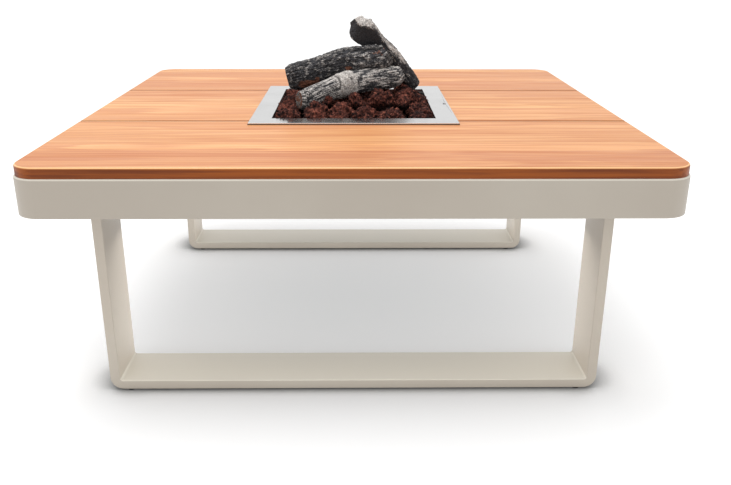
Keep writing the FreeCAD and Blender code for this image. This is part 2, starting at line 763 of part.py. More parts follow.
TUBE_WALL = 1
BRACKET_Y = (-50, 85)
BRACKET_DROP = 38
BRACKET_TONGUE = 22
NOSE_RADIUS = 10
NOSE_LENGTH = 8
NUT_FLATS = 26
NUT_HEIGHT = 4
NUT_CLEARANCE = 0.2
VALVE_HALF_WIDTH = 17
VALVE_DEPTH = 40
OUTLET_RADIUS = 8
OUTLET_LENGTH = 10
INLET_X = 522
SLEEVE_RADIUS = 7
SLEEVE_START = 527
SLEEVE_LENGTH = 22
SLEEVE_ROOM = 7
STEM_BEHIND_SLEEVE = 2
STEM_IN_KNOB = 14

igniter_line = size("igniter_offset")
bracket_back = size("bracket_face") - size("bracket_thickness")
bracket_low = gas_line - BRACKET_DROP
valve_back = bracket_back - VALVE_DEPTH
outlet_end = valve_back - OUTLET_LENGTH
tube_start = as_size(MIXER_ARM_LENGTH + JET_LENGTH)
tube_length = outlet_end - tube_start
tube_outside = cylinder(size("gas_tube_radius"), (tube_start, 0, gas_line), tube_length, "+X")
tube_inside = cylinder(size("gas_tube_radius") - TUBE_WALL, (tube_start - 1, 0, gas_line),
                       tube_length + 2, "+X")
keep(cut(tube_outside, tube_inside), "gas_feed_tube")


def bracket_hole(y):
    return cylinder(NOSE_RADIUS + FIT, (bracket_back - 1, y, gas_line),
                    size("bracket_thickness") + 2, "+X")


def panel_nut(label, y):
    """A nut on the outer face of the bracket, round the threaded nose of a control."""
    nut = hexagon(NUT_FLATS, (size("bracket_face"), y, gas_line), NUT_HEIGHT, "+X")
    bore = cylinder(NOSE_RADIUS + NUT_CLEARANCE, (size("bracket_face") - 1, y, gas_line),
                    NUT_HEIGHT + 2, "+X")
    keep(cut(nut, bore), label)


upright = box((bracket_back, size("bracket_face")), BRACKET_Y, (bracket_low, apron_bottom))
flange = box((size("bracket_face"), apron_inside + BRACKET_TONGUE), BRACKET_Y,
             (apron_bottom - size("bracket_thickness"), apron_bottom))
flange_holes = [cylinder(BRACKET_SCREW_RADIUS + BOLT_CLEARANCE,
                         (x, y, apron_bottom - size("bracket_thickness") - 1),
                         size("bracket_thickness") + 2)
                for x, y in BRACKET_SCREW_PLACES]
keep(cut(fuse(upright, flange), bracket_hole(0), bracket_hole(igniter_line), *flange_holes),
     "control_bracket")

BRACKET_SCREW_HEAD_RADIUS = 4.5
BRACKET_SCREW_HEAD_HEIGHT = 3.5
BRACKET_SCREW_LENGTH = 10
bracket_screw = fuse(cylinder(BRACKET_SCREW_HEAD_RADIUS, (0, 0, -BRACKET_SCREW_HEAD_HEIGHT),
                              BRACKET_SCREW_HEAD_HEIGHT),
                     cylinder(BRACKET_SCREW_RADIUS, (0, 0, 0), BRACKET_SCREW_LENGTH))
copies("bracket_screws", bracket_screw,
       [(x.value, y, apron_bottom.value - size("bracket_thickness").value)
        for x, y in BRACKET_SCREW_PLACES])

valve_block = box((valve_back, bracket_back), (-VALVE_HALF_WIDTH, VALVE_HALF_WIDTH),
                  (gas_line - VALVE_HALF_WIDTH, gas_line + VALVE_HALF_WIDTH))
valve_outlet = cylinder(OUTLET_RADIUS, (outlet_end, 0, gas_line), OUTLET_LENGTH, "+X")
valve_inlet = cylinder(OUTLET_RADIUS, (INLET_X, 0, gas_line - VALVE_HALF_WIDTH - OUTLET_RADIUS),
                       OUTLET_RADIUS)
valve_nose = cylinder(NOSE_RADIUS, (bracket_back, 0, gas_line), NOSE_LENGTH, "+X")
sleeve_bore = cylinder(SLEEVE_RADIUS + size("running_clearance"),
                       (SLEEVE_START - SLEEVE_ROOM, 0, gas_line), VALVE_DEPTH, "+X")
keep(cut(fuse(valve_block, valve_outlet, valve_inlet, valve_nose), sleeve_bore), "gas_valve")
panel_nut("valve_nut", 0)

TAIL_RADIUS = 5
TAIL_LENGTH = 22
TAIL_FLATS = 15
TAIL_NUT_HEIGHT = 8
tail_nut_low = gas_line - VALVE_HALF_WIDTH - OUTLET_RADIUS - TAIL_NUT_HEIGHT
hose_tail = cylinder(TAIL_RADIUS, (INLET_X, 0, tail_nut_low - TAIL_LENGTH), TAIL_LENGTH)
hose_hexagon = hexagon(TAIL_FLATS, (INLET_X, 0, tail_nut_low), TAIL_NUT_HEIGHT)
keep(fuse(hose_tail, hose_hexagon), "gas_inlet_tail")

# Push sleeve slides in the valve; the stem turns inside the sleeve and carries the knob.
sleeve = cylinder(SLEEVE_RADIUS, (SLEEVE_START, 0, gas_line), SLEEVE_LENGTH, "+X")
stem_bore = cylinder(size("stem_radius") + size("running_clearance"),
                     (SLEEVE_START - 1, 0, gas_line), SLEEVE_LENGTH + 2, "+X")
keep(cut(sleeve, stem_bore), "push_sleeve")

KNOB_STANDOFF = 9
SKIRT_LENGTH = 6
SKIRT_STEP = 2
GRIP_TAPER = 2
POINTER_HALF_WIDTH = 1.5
POINTER_RISE = 1.5
POINTER_REACH = (4, 16)
GRUB_SETBACK = 10
GRUB_HOLE_RADIUS = 1.6
GRUB_RADIUS = 1.5
GRUB_LENGTH = 9.8
knob_start = size("bracket_face") + KNOB_STANDOFF
grip_start = knob_start + SKIRT_LENGTH
grub_x = knob_start + GRUB_SETBACK
stem_start = as_size(SLEEVE_START - STEM_BEHIND_SLEEVE)
keep(cylinder(size("stem_radius"), (stem_start, 0, gas_line),
              knob_start - stem_start + STEM_IN_KNOB, "+X"), "valve_stem")

skirt = cylinder(size("knob_radius"), (knob_start, 0, gas_line), SKIRT_LENGTH, "+X")
grip = doc.addObject("Part::Cone", "Grip")
bind(grip, Radius1=size("knob_radius") - SKIRT_STEP,
     Radius2=size("knob_radius") - SKIRT_STEP - GRIP_TAPER, Height=size("knob_length") - SKIRT_LENGTH)
place(grip, grip_start, 0, gas_line, rotation=ALONG["+X"])
pointer = box((grip_start, knob_start + size("knob_length") + POINTER_RISE),
              (-POINTER_HALF_WIDTH, POINTER_HALF_WIDTH),
              (gas_line + POINTER_REACH[0], gas_line + POINTER_REACH[1]))
knob_bore = cylinder(size("stem_radius") + NUT_CLEARANCE / 2, (knob_start - 1, 0, gas_line),
                     STEM_IN_KNOB + 1.5, "+X")
grub_hole = cylinder(GRUB_HOLE_RADIUS, (grub_x, 0, gas_line - size("knob_radius") - 1),
                     size("knob_radius") + 1)
keep(cut(fuse(skirt, grip, pointer), knob_bore, grub_hole), "control_knob")
grub_top = gas_line - size("stem_radius") - NUT_CLEARANCE
keep(cylinder(GRUB_RADIUS, (grub_x, 0, grub_top - GRUB_LENGTH), GRUB_LENGTH), "knob_grub_screw")

# Piezo igniter beside the valve.
IGNITER_BACK = 487
IGNITER_RADIUS = 11.5
BUTTON_TRAVEL = 4
BUTTON_RADIUS = 8
BUTTON_STEM_RADIUS = 6
BUTTON_CAP_LENGTH = 5
BUTTON_STEM_START = 535
BUTTON_BORE_START = 530
igniter_case = cylinder(IGNITER_RADIUS, (IGNITER_BACK, igniter_line, gas_line),
                        bracket_back - IGNITER_BACK, "+X")
igniter_nose = cylinder(NOSE_RADIUS, (bracket_back, igniter_line, gas_line), NOSE_LENGTH, "+X")
nose_end = bracket_back + NOSE_LENGTH
button_bore = cylinder(BUTTON_STEM_RADIUS + size("running_clearance"),
                       (BUTTON_BORE_START, igniter_line, gas_line),
                       nose_end - BUTTON_BORE_START + 1, "+X")
keep(cut(fuse(igniter_case, igniter_nose), button_bore), "igniter_body")
panel_nut("igniter_nut", igniter_line)
cap_start = nose_end + BUTTON_TRAVEL + 0.5
button_cap = cylinder(BUTTON_RADIUS, (cap_start, igniter_line, gas_line), BUTTON_CAP_LENGTH, "+X")
button_stem = cylinder(BUTTON_STEM_RADIUS, (BUTTON_STEM_START, igniter_line, gas_line),
                       cap_start - BUTTON_STEM_START, "+X")
keep(fuse(button_cap, button_stem), "igniter_button")

ELECTRODE_DROP = 10
ELECTRODE_LENGTH = 24
ELECTRODE_TIP_RADIUS = 1.2
ELECTRODE_TIP_LENGTH = 16
electrode_low = pan_bottom - ELECTRODE_DROP
electrode_sleeve = cylinder(ELECTRODE_RADIUS, (ELECTRODE_X, igniter_line, electrode_low),
                            ELECTRODE_LENGTH)
electrode_tip = cylinder(ELECTRODE_TIP_RADIUS,
                         (ELECTRODE_X, igniter_line, electrode_low + ELECTRODE_LENGTH),
                         ELECTRODE_TIP_LENGTH)
keep(fuse(electrode_sleeve, electrode_tip), "spark_electrode")

LEAD_RADIUS = 2


def ignition_lead():
    """Insulated lead held between the igniter and the electrode: a straight run and one arc."""
    y = igniter_line.value
    z = gas_line.value
    bend = electrode_low.value - z
    part_way = bend * (1 - math.sqrt(0.5))
    start = Vector(IGNITER_BACK, y, z)
    before = Vector(ELECTRODE_X + bend, y, z)
    middle = Vector(ELECTRODE_X + part_way, y, z + part_way)
    end = Vector(ELECTRODE_X, y, z + bend)
    path = Part.Wire([Part.LineSegment(start, before).toShape(),
                      Part.Arc(before, middle, end).toShape()])
    section = Part.Wire(Part.makeCircle(LEAD_RADIUS, start, Vector(-1, 0, 0)))
    lead = doc.addObject("Part::Feature", "ignition_lead")
    lead.Shape = path.makePipeShell([section], True, False)
    keep(lead, "ignition_lead")


ignition_lead()

# ---------------------------------------------------------------- logs and lava rocks


def log_shape(stations):
    """Loft through round sections set square to the line of station centres."""
    centres = [Vector(x, y, z) for x, y, z, radius in stations]
    sections = []
    for index, centre in enumerate(centres):
        behind = centres[max(index - 1, 0)]
        ahead = centres[min(index + 1, len(centres) - 1)]
        circle = Part.makeCircle(stations[index][3], centre, ahead - behind)
        sections.append(Part.Wire(circle))
    return Part.makeLoft(sections, True, False)


for log_name, log_stations in LOG_STATIONS.items():
    log = doc.addObject("Part::Feature", log_name)
    log.Shape = log_shape(log_stations)
    keep(log, log_name)


def log_gap(centre):
    """Distance from a point to the nearest log surface."""
    nearest = 1e9
    for stations in LOG_STATIONS.values():
        for start, end in zip(stations, stations[1:]):
            a = Vector(*start[:3])
            run = Vector(*end[:3]) - a
            share = min(max((centre - a).dot(run) / run.dot(run), 0), 1)
            reach = start[3] + (end[3] - start[3]) * share
            nearest = min(nearest, (centre - a - run * share).Length - reach)
    return nearest


GOLDEN = (1 + math.sqrt(5)) / 2
ICOSAHEDRON = [Vector(*point).normalize() for point in (
    (-1, GOLDEN, 0), (1, GOLDEN, 0), (-1, -GOLDEN, 0), (1, -GOLDEN, 0),
    (0, -1, GOLDEN), (0, 1, GOLDEN), (0, -1, -GOLDEN), (0, 1, -GOLDEN),
    (GOLDEN, 0, -1), (GOLDEN, 0, 1), (-GOLDEN, 0, -1), (-GOLDEN, 0, 1))]
EDGE_OF_ICOSAHEDRON = 1.06


def icosahedron_faces():
    """Every three corners that are all neighbours."""
    count = len(ICOSAHEDRON)
    near = [[(ICOSAHEDRON[a] - ICOSAHEDRON[b]).Length < EDGE_OF_ICOSAHEDRON for b in range(count)]
            for a in range(count)]
    return [(a, b, c) for a in range(count) for b in range(a + 1, count) for c in range(b + 1, count)
            if near[a][b] and near[b][c] and near[a][c]]


ROCK_FACES = icosahedron_faces()


def rock_shape(centre, radius, chance):
    """A lump with twenty flat faces, none of it further out than its radius."""
    turn = Rotation(chance.uniform(0, 360), chance.uniform(0, 360), chance.uniform(0, 360))
    corners = [centre + turn.multVec(corner) * radius * chance.uniform(0.84, 1.0)
               for corner in ICOSAHEDRON]
    faces = []
    for a, b, c in ROCK_FACES:
        outline = Part.makePolygon([corners[a], corners[b], corners[c], corners[a]])
        faces.append(Part.Face(outline))
    solid = Part.Solid(Part.Shell(faces))
    if solid.Volume < 0:
        solid.reverse()
    return solid


def rock_layer(label, columns, rows, height, full_radius):
    """Rocks on a regular footing, shrunk or left out where a log lies."""
    chance = random.Random(ROCK_SEED + len(label))
    rocks = []
    for column in columns:
        for line in rows:
            centre = Vector(column * ROCK_PITCH_X, line * ROCK_PITCH_Y, height)
            radius = min(full_radius, log_gap(centre) - LOG_CLEARANCE)
            if radius > SMALLEST_ROCK * full_radius:
                rocks.append(rock_shape(centre, radius, chance))
    layer = doc.addObject("Part::Feature", label)
    layer.Shape = Part.makeCompound(rocks)
    keep(layer, label)


lower_height = grate_top.value + LOWER_ROCK_RADIUS + 0.2
rock_layer("lava_rocks_lower", [step - 2.5 for step in range(6)], [step - 2.5 for step in range(6)],
           lower_height, LOWER_ROCK_RADIUS)
rock_layer("lava_rocks_upper", range(-2, 3), range(-1, 3), lower_height + ROCK_RISE,
           UPPER_ROCK_RADIUS)

# ---------------------------------------------------------------- test and export

doc.recompute()
for item in doc.Objects:
    if "Invalid" in item.State or "Error" in item.State:
        raise RuntimeError(item.Name + " failed: " + str(item.State))
os.makedirs("parts", exist_ok=True)
for piece in SUB_PARTS:
    if piece.Shape.isNull() or not piece.Shape.isValid():
        raise RuntimeError(piece.Label + " has no valid shape")
for piece in SUB_PARTS:
    piece.Shape.exportStep(os.path.join("parts", piece.Label + ".step"))
print(len(SUB_PARTS), "sub-parts written")
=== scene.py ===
import json
import math
import random

import bmesh
import bpy
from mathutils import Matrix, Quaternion, Vector, noise


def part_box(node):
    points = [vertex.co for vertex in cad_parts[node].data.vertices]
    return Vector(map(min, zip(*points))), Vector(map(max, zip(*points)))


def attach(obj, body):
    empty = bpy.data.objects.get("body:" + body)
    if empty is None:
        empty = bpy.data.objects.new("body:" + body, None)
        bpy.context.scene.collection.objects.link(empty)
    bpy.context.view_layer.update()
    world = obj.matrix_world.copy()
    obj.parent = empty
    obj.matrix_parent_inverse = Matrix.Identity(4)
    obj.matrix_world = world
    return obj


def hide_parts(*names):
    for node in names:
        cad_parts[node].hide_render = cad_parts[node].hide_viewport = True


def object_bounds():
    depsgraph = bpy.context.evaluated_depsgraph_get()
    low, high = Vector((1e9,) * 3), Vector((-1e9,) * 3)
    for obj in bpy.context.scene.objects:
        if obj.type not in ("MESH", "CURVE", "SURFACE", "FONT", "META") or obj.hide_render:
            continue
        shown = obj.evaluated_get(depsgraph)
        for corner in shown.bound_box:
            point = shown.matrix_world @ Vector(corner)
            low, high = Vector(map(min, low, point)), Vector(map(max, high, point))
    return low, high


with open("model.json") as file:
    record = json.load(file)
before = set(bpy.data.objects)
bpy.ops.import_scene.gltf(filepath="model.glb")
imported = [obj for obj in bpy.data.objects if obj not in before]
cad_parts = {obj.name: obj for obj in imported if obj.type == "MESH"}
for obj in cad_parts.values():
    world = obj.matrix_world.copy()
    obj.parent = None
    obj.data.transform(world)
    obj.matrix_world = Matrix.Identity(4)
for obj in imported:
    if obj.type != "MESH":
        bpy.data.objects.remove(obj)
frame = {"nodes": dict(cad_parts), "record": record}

MM = 0.001
SIZE_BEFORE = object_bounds()
nodes = frame["nodes"]
scene = bpy.context.scene


# ---------------------------------------------------------------- shader building

def colour(red, green, blue):
    """A screen colour, 0 to 255, as the linear colour that shaders take."""
    def linear(level):
        level = level / 255
        return level / 12.92 if level <= 0.04045 else ((level + 0.055) / 1.055) ** 2.4
    return (linear(red), linear(green), linear(blue), 1.0)


class Look:
    """One material, built node by node."""

    def __init__(self, name, **sockets):
        self.material = bpy.data.materials.new(name)
        self.material.use_nodes = True
        self.tree = self.material.node_tree
        self.shader = self.tree.nodes["Principled BSDF"]
        self.place = self.add("ShaderNodeTexCoord").outputs["Object"]
        for socket, value in sockets.items():
            self.set(socket.replace("_", " "), value)

    def add(self, kind, inputs=(), **settings):
        """A new shader node; its inputs are values or other nodes' outputs."""
        node = self.tree.nodes.new(kind)
        for setting, value in settings.items():
            setattr(node, setting, value)
        for socket, value in dict(inputs).items():
            self.feed(node.inputs[socket], value)
        return node

    def feed(self, socket, value):
        if isinstance(value, bpy.types.NodeSocket):
            self.tree.links.new(value, socket)
        else:
            socket.default_value = value

    def set(self, socket, value):
        """Gives one of the surface shader's own sockets a value or a link."""
        self.feed(self.shader.inputs[socket], value)

    def part_of(self, vector, axis):
        return self.add("ShaderNodeSeparateXYZ", {0: vector}).outputs[axis]

    def scaled(self, x, y, z, place=None):
        inputs = {0: place or self.place, 1: (x, y, z)}
        return self.add("ShaderNodeVectorMath", inputs, operation="MULTIPLY").outputs[0]

    def noise(self, place, scale=1.0, detail=4.0, roughness=0.5, distortion=0.0):
        inputs = {"Vector": place, "Scale": scale, "Detail": detail, "Roughness": roughness,
                  "Distortion": distortion}
        return self.add("ShaderNodeTexNoise", inputs).outputs["Fac"]

    def cells(self, place, scale=1.0):
        return self.add("ShaderNodeTexVoronoi", {"Vector": place, "Scale": scale}).outputs["Distance"]

    def math(self, operation, first, second=0.0):
        return self.add("ShaderNodeMath", {0: first, 1: second}, operation=operation).outputs[0]

    def between(self, value, low, high, to_low=0.0, to_high=1.0, curve="SMOOTHSTEP"):
        """Maps low..high to to_low..to_high and holds the ends."""
        inputs = {"Value": value, "From Min": low, "From Max": high, "To Min": to_low, "To Max": to_high}
        return self.add("ShaderNodeMapRange", inputs, interpolation_type=curve).outputs[0]

    def steps(self, value, stops):
        """The colour of the last stop at or below the value."""
        node = self.add("ShaderNodeValToRGB", {0: value})
        node.color_ramp.interpolation = "CONSTANT"
        elements = node.color_ramp.elements
        while len(elements) < len(stops):
            elements.new(1.0)
        for element, (position, shade) in zip(elements, stops):
            element.position = position
            element.color = shade
        return node.outputs["Color"]

    def mix(self, share, first, second):
        """The first colour, with a share of the second."""
        return self.add("ShaderNodeMix", {0: share, 6: first, 7: second}, data_type="RGBA").outputs[2]

    def bump(self, height, depth):
        inputs = {"Height": height, "Distance": depth, "Strength": 1.0}
        return self.add("ShaderNodeBump", inputs).outputs[0]

    def upness(self):
        """1 where a face looks up, 0 where it is upright, -1 where it looks down."""
        return self.part_of(self.add("ShaderNodeNewGeometry").outputs["Normal"], "Z")

    def facing_up(self):
        """1 on level faces, 0 on upright ones."""
        return self.between(self.upness(), 0.15, 0.6)

    def finish_light_and_shade_mark(self, index):
        """One channel of the colour marks stored on a piece's vertices, painted light and shade among them.
        """
        painted = self.add("ShaderNodeAttribute", attribute_name=FINISH_LIGHT_AND_SHADE).outputs["Color"]
        return self.add("ShaderNodeSeparateColor", {0: painted}).outputs[index]


# ---------------------------------------------------------------- materials

FINISH_LIGHT_AND_SHADE = "finish_light_and_shade"
STAVE_SEED = 5
STAVE_WIDTHS = (0.051, 0.072, 0.056, 0.110, 0.108,
                0.062, 0.088, 0.052, 0.098, 0.102,
                0.058, 0.094, 0.070, 0.106, 0.073)
JOINT_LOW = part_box("plank_middle_right")[1].y
JOINT_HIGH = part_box("plank_back")[0].y
JOINT_CENTRE = (JOINT_LOW + JOINT_HIGH) / 2
JOINT_HALF_WIDTH = (JOINT_HIGH - JOINT_LOW) / 2
JOINT_SHADE = 3.2 * MM


def teak():
    """Glued-up oiled staves with straight grain along X, with a painted highlight along their top edges and
    painted shade on their upright and downward faces and in their joints.
    """
    look = Look("teak", Specular_IOR_Level=0.25)
    front, back = SIZE_BEFORE[0].y, SIZE_BEFORE[1].y
    across = look.between(look.part_of(look.place, "Y"), front, back, curve="LINEAR")
    chance = random.Random(STAVE_SEED)
    stops = []
    edge = 0.0
    for width in STAVE_WIDTHS:
        stops.append((edge, (chance.random(), chance.random(), chance.random(), 1.0)))
        edge += width / (back - front)
    stave = look.add("ShaderNodeSeparateColor", {0: look.steps(across, stops)}).outputs
    shift = look.scaled(7.0, 1.3, 0.9, look.steps(across, stops))
    board = look.add("ShaderNodeVectorMath", {0: look.place, 1: shift}, operation="ADD").outputs[0]
    figure = look.noise(look.scaled(0.9, 11, 11, board), 1.0, 3.0, 0.5, 0.8)
    rings = look.math("FRACT", look.math("MULTIPLY", figure, 7.0))
    rings = look.math("MULTIPLY", look.between(rings, 0.0, 0.75), look.between(rings, 1.0, 0.8))
    streaks = look.noise(look.scaled(2.2, 95, 95, board), 1.0, 6.0, 0.62)
    fibres = look.noise(look.scaled(14, 800, 800, board), 1.0, 3.0, 0.6)
    pale = look.mix(stave[2], colour(227, 174, 114), colour(220, 160, 104))
    deep = look.mix(stave[2], colour(196, 126, 70), colour(184, 112, 68))
    wood = look.mix(look.math("MULTIPLY", rings, 0.6), pale, deep)
    wood = look.mix(look.between(streaks, 0.42, 0.72, 0.0, 0.65), wood, colour(168, 96, 48))
    wood = look.mix(look.math("MULTIPLY", stave[0], 0.6), wood, colour(176, 104, 60))
    wood = look.mix(look.between(fibres, 0.6, 0.74, 0.0, 0.4), wood, colour(122, 62, 28))
    # painted shade: upright faces take a darker copy of the wood than level ones
    shaded_side_wood = look.mix(look.between(streaks, 0.35, 0.7), colour(144, 72, 12), colour(100, 43, 7))
    wood = look.mix(look.facing_up(), shaded_side_wood, wood)
    from_middle = look.math("ABSOLUTE", look.part_of(look.place, "Y"))
    from_joint = look.math("ABSOLUTE", look.math("SUBTRACT", from_middle, JOINT_CENTRE))
    from_joint = look.math("SUBTRACT", from_joint, JOINT_HALF_WIDTH)
    joint_shadow = look.between(from_joint, JOINT_SHADE, 0.0)
    upness = look.upness()
    # painted highlight: a pale band on the eased top edges, kept off the joints
    wear_and_highlight = look.math("MULTIPLY", look.between(upness, 0.5, 0.75), look.between(upness, 0.995, 0.93))
    wear_and_highlight = look.math("MULTIPLY", wear_and_highlight, look.between(from_joint, JOINT_SHADE, 3 * JOINT_SHADE))
    wood = look.mix(look.math("MULTIPLY", wear_and_highlight, 0.75), wood, colour(246, 204, 150))
    # painted shade under the planks: faces looking down turn dark brown
    wood = look.mix(look.between(upness, -0.05, -0.5, 0.0, 0.8), wood, colour(52, 22, 8))
    # painted shade in the joints between the planks
    look.set("Base Color", look.mix(look.math("MULTIPLY", joint_shadow, 0.9), wood, colour(58, 28, 12)))
    look.set("Roughness", look.between(streaks, 0.3, 0.8, 0.34, 0.52))
    look.set("Normal", look.bump(look.math("ADD", streaks, fibres), 0.1 * MM))
    return look.material


def coated(name, base, shaded, level, roughness, grain=700, depth=0.06 * MM):
    """Powder coat: an even colour, with level faces painted paler as top light, and a fine orange-peel
    skin.
    """
    look = Look(name)
    drift = look.noise(look.place, 3.0, 3.0, 0.5)
    peel = look.noise(look.place, grain, 2.0, 0.5)
    specks = look.noise(look.place, 2.6 * grain, 1.0, 0.5)
    shade = look.mix(look.between(drift, 0.3, 0.7), base, shaded)
    shade = look.mix(look.between(specks, 0.55, 0.8, 0.0, 0.35), shade, shaded)
    # painted light: level faces take the paler level colour, as if lit from above
    look.set("Base Color", look.mix(look.facing_up(), shade, level))
    look.set("Roughness", look.between(peel, 0.2, 0.8, roughness - 0.06, roughness + 0.08))
    look.set("Normal", look.bump(peel, depth))
    return look.material


RIM_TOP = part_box("burner_tray")[1].z
DARK_START = 4 * MM
DARK_FADE = 8 * MM


def metal(name, base, stained, roughness, stain_scale=18, along=(1, 1, 1), stain=0.35, dark_below=None):
    """Bare or plated metal with drawn lines and uneven stains, near black and not metallic below some
    height.
    """
    look = Look(name, Metallic=1.0)
    lines = look.noise(look.scaled(*along), 900, 3.0, 0.6)
    marks = look.noise(look.place, stain_scale, 5.0, 0.6, 0.4)
    shade = look.mix(look.between(marks, 0.45, 0.7, 0.0, stain), base, stained)
    # below the given height the colour fades to near black and stops being metallic
    if dark_below is not None:
        darkening = look.between(look.part_of(look.place, "Z"), dark_below, dark_below - DARK_FADE, 0.0, 0.92)
        shade = look.mix(darkening, shade, colour(30, 25, 23))
        look.set("Metallic", look.math("SUBTRACT", 1.0, darkening))
    look.set("Base Color", look.mix(look.between(lines, 0.5, 0.8, 0.0, 0.3), shade, stained))
    look.set("Roughness", look.between(marks, 0.3, 0.75, roughness, roughness + 0.14))
    look.set("Normal", look.bump(lines, 0.01 * MM))
    return look.material


def moulded(name, base, wear_and_highlight, roughness, grain=900):
    """Plastic, rubber or glazed ceramic with a fine moulded grain."""
    look = Look(name)
    fine = look.noise(look.place, grain, 3.0, 0.6)
    rubbed = look.noise(look.place, 40, 4.0, 0.6)
    look.set("Base Color", look.mix(look.between(rubbed, 0.45, 0.75, 0.0, 0.6), base, wear_and_highlight))
    look.set("Roughness", look.between(rubbed, 0.3, 0.8, roughness, roughness + 0.15))
    look.set("Normal", look.bump(fine, 0.05 * MM))
    return look.material


def lava_stone():
    """Porous red-brown scoria, painted near black as shade in its hollows, pores, crevices and undersides,
    and paler as highlight on its raised crumbs.
    """
    look = Look("lava_stone", Roughness=0.95, Specular_IOR_Level=0.15)
    broad = look.noise(look.place, 16, 4.0, 0.6)
    crumbs = look.noise(look.place, 130, 5.0, 0.68)
    pores = look.cells(look.place, 300)
    shade = look.mix(look.between(broad, 0.35, 0.65), colour(86, 45, 36), colour(50, 27, 24))
    # painted light: crumbs raised by the bump are paler as highlight, sunken ones near black as shade
    shade = look.mix(look.between(crumbs, 0.52, 0.68), shade, colour(144, 86, 70))
    shade = look.mix(look.between(crumbs, 0.5, 0.38), shade, colour(13, 8, 8))
    # painted shade in the pits and on the undersides, from the rock's vertex marks
    shade = look.mix(look.finish_light_and_shade_mark(0), shade, colour(9, 6, 6))
    # painted shade in the pores
    look.set("Base Color", look.mix(look.between(pores, 0.3, 0.1, 0.0, 0.75), shade, colour(14, 9, 9)))
    look.set("Normal", look.bump(look.math("ADD", crumbs, look.between(pores, 0.0, 0.4)), 0.9 * MM))
    return look.material


def log_ceramic():
    """Cast ceramic wood: char, white ash, and brown bark where it was painted so."""
    look = Look("log_ceramic", Roughness=0.9, Specular_IOR_Level=0.25)
    ash, brown, hollow = look.finish_light_and_shade_mark(0), look.finish_light_and_shade_mark(1), look.finish_light_and_shade_mark(2)
    grit = look.noise(look.place, 420, 6.0, 0.7)
    mottle = look.noise(look.place, 95, 5.0, 0.65)
    char = look.mix(look.between(grit, 0.35, 0.7), colour(26, 26, 28), colour(78, 78, 82))
    pale = look.mix(look.between(grit, 0.35, 0.65), colour(126, 121, 118), colour(222, 216, 210))
    bark = look.mix(look.between(grit, 0.35, 0.65), colour(72, 46, 36), colour(150, 100, 78))
    speckle = look.math("ADD", look.between(grit, 0.3, 0.7, -0.18, 0.18),
                        look.between(mottle, 0.3, 0.7, -0.14, 0.14))
    # the pale ash channel also carries a painted highlight on the top log's lit side
    shade = look.mix(look.between(look.math("ADD", ash, speckle), 0.15, 0.85), char, pale)
    patch = look.math("ADD", brown, look.between(mottle, 0.35, 0.65, -0.25, 0.25))
    shade = look.mix(look.between(patch, 0.35, 0.65), shade, bark)
    look.set("Base Color", look.mix(look.math("MULTIPLY", hollow, 0.9), shade, colour(12, 12, 13)))
    look.set("Normal", look.bump(look.math("ADD", grit, mottle), 0.9 * MM))
    return look.material


BRUSHED = (0.03, 1, 1)
MATERIALS = {
    "teak": teak(),
    # the powder coat's third colour is painted top light for its level faces
    "powder_coat": coated("powder_coat", colour(172, 164, 152), colour(166, 157, 145),
                          colour(208, 202, 189), 0.4),
    "bearer_coat": coated("bearer_coat", colour(150, 148, 144), colour(122, 120, 116),
                          colour(150, 148, 144), 0.55),
    "glide_plastic": moulded("glide_plastic", colour(24, 24, 25), colour(52, 51, 50), 0.5),
    "stainless": metal("stainless", colour(200, 200, 200), colour(190, 189, 188), 0.14, 6, BRUSHED, 0.2,
                       dark_below=RIM_TOP - DARK_START),
    "burner_steel": metal("burner_steel", colour(150, 146, 140), colour(92, 70, 58), 0.3, 30, BRUSHED, 0.7),
    "grate_iron": moulded("grate_iron", colour(34, 33, 33), colour(70, 52, 44), 0.7, 500),
    "zinc_steel": metal("zinc_steel", colour(196, 198, 196), colour(150, 148, 138), 0.3, 60),
    "brass": metal("brass", colour(212, 178, 104), colour(150, 112, 58), 0.28, 60),
    "aluminium": metal("aluminium", colour(204, 205, 208), colour(160, 161, 164), 0.34, 50),
    "knob_plastic": moulded("knob_plastic", colour(22, 22, 23), colour(44, 43, 43), 0.38),
    "lead_rubber": moulded("lead_rubber", colour(28, 27, 27), colour(58, 54, 52), 0.6),
    "electrode_ceramic": moulded("electrode_ceramic", colour(232, 228, 218), colour(196, 184, 166),
                                 0.25),
    "lava_stone": lava_stone(),
    "log_ceramic": log_ceramic(),
}


def dress(piece, slot):
    piece.data.materials.clear()
    piece.data.materials.append(MATERIALS[slot])


for part in frame["record"]["subparts"]:
    dress(nodes[part["node"]], part["material_slot"])


# ---------------------------------------------------------------- mesh building

def add_piece(name, mesh, slot, body, replaced):
    """Links a finished mesh as a piece of the object and hides the CAD nodes that it stands for."""
    piece = bpy.data.objects.new(name, mesh)
    scene.collection.objects.link(piece)
    dress(piece, slot)
    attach(piece, body)
    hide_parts(*replaced)
    return piece


def skin(rings, closed_ends=True):
    """A mesh through rings of points that all have the same count."""
    built = bmesh.new()
    rows = [[built.verts.new(point) for point in ring] for ring in rings]
    count = len(rows[0])
    for row, following in zip(rows, rows[1:]):
        for step in range(count):
            turn = (step + 1) % count
            built.faces.new((row[step], row[turn], following[turn], following[step]))
    if closed_ends:
        built.faces.new(rows[0])
        built.faces.new(rows[-1])
    bmesh.ops.recalc_face_normals(built, faces=built.faces)
    for face in built.faces:
        face.smooth = True
    return built


def finished(built, name, sharp_degrees=None):
    mesh = bpy.data.meshes.new(name)
    built.to_mesh(mesh)
    built.free()
    if sharp_degrees is not None:
        mesh.set_sharp_from_angle(angle=math.radians(sharp_degrees))
    return mesh


def box_of(*names):
    """The lowest and highest corner of several CAD nodes together."""
    boxes = [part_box(name) for name in names]
    lows, highs = zip(*boxes)
    return (Vector(min(low[axis] for low in lows) for axis in range(3)),
            Vector(max(high[axis] for high in highs) for axis in range(3)))


